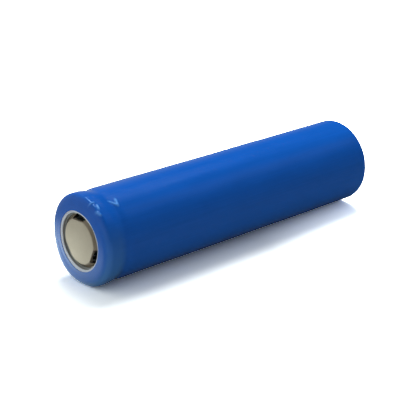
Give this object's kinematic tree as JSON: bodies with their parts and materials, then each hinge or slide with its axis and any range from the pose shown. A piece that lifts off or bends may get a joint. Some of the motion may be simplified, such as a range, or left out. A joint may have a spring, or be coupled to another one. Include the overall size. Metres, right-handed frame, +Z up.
{
  "type": "cylindrical battery cell",
  "caption": "Cylindrical lithium battery cell with a flat vented positive cap, a rolled groove under it and a shrink sleeve, built with its wound electrodes.",
  "frame": {"origin": "middle of the cell's axis, halfway between the positive contact face and the sleeve's negative end", "axes": "+Y along the cell's axis, from the positive end to the negative end; +Z up with the cell lying on its side; +X to its right seen from the positive end"},
  "size_m": [0.017, 0.0672, 0.017],
  "materials": {
    "sleeve_film": "satin blue shrink film",
    "washer_fibre": "matt white",
    "can_steel": "satin nickel plate",
    "cap_steel": "satin nickel plate, slightly warm",
    "gasket_plastic": "matt grey",
    "ptc_polymer": "matt dark, foil faced",
    "aluminium_sheet": "mill",
    "clear_plastic": "milky",
    "separator_film": "matt white film",
    "cathode_coat": "matt black coating on aluminium foil",
    "anode_coat": "dark graphite coating on copper foil",
    "amber_tape": "amber film",
    "green_tape": "green film",
    "tab_nickel": "nickel strip"
  },
  "bodies": {
    "cell": {"shrink_sleeve": "sleeve_film", "insulating_washer": "washer_fibre", "steel_can": "can_steel", "crimp_gasket": "gasket_plastic", "positive_cap": "cap_steel", "ptc_ring": "ptc_polymer", "vent_spacer": "clear_plastic", "weld_plate": "aluminium_sheet", "separator_inner": "separator_film", "cathode_strip": "cathode_coat", "separator_outer": "separator_film", "anode_strip": "anode_coat", "closing_tape": "green_tape", "centre_pin": "can_steel", "positive_tab": "aluminium_sheet", "positive_tab_tape": "amber_tape", "negative_tab": "tab_nickel", "negative_tab_tape": "amber_tape", "upper_insulator": "clear_plastic", "lower_insulator": "clear_plastic"},
    "pressure_disc": {"vent_disc": "aluminium_sheet"}
  },
  "joints": [
    {"name": "pressure_disc_pop", "type": "slide", "parent": "cell", "child": "pressure_disc", "axis": [0, -1, 0], "range_m": [0, 0.0009], "deforming": ["vent_disc"]}
  ]
}
